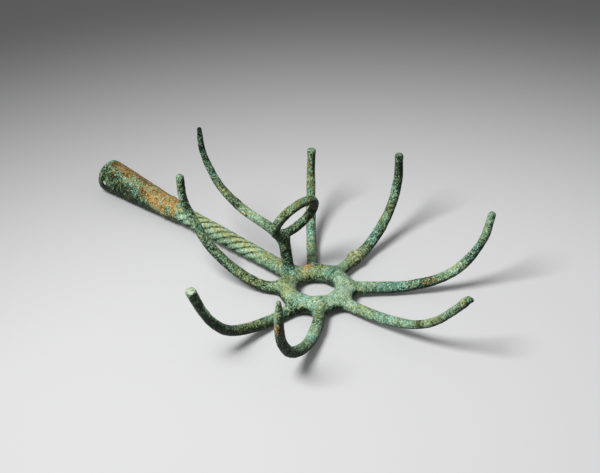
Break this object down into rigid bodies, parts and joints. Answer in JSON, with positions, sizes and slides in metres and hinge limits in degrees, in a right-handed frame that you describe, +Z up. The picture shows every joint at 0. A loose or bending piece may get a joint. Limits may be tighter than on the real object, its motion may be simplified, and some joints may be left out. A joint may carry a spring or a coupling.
{
  "type": "torch holder",
  "caption": "Cast bronze torch holder: ring hub with upturned curved prongs, a hanging loop on a stalk and a twisted handle ending in a hollow socket for a wooden shaft.",
  "frame": {"origin": "middle of the object's box, on the floor it lies on", "axes": "+X along the handle from the socket's mouth to the hub and the prong beyond it, +Z up, the way the prongs turn up"},
  "size_m": [0.3998, 0.261, 0.1178],
  "materials": {
    "green_patina": "matt verdigris crust on cast bronze",
    "dark_patina": "matt dark green patina on cast bronze",
    "ochre_patina": "matt ochre and dark green patina on cast bronze"
  },
  "bodies": {
    "root": {"hub_ring": "green_patina", "prong_1": "green_patina", "prong_2": "green_patina", "prong_3": "green_patina", "prong_4": "green_patina", "prong_5": "green_patina", "prong_6": "green_patina", "prong_7": "green_patina", "prong_8": "green_patina", "loop_stalk": "dark_patina", "hanging_loop": "dark_patina", "twisted_shank": "green_patina", "socket_collar": "ochre_patina", "shaft_socket": "ochre_patina"}
  },
  "joints": []
}
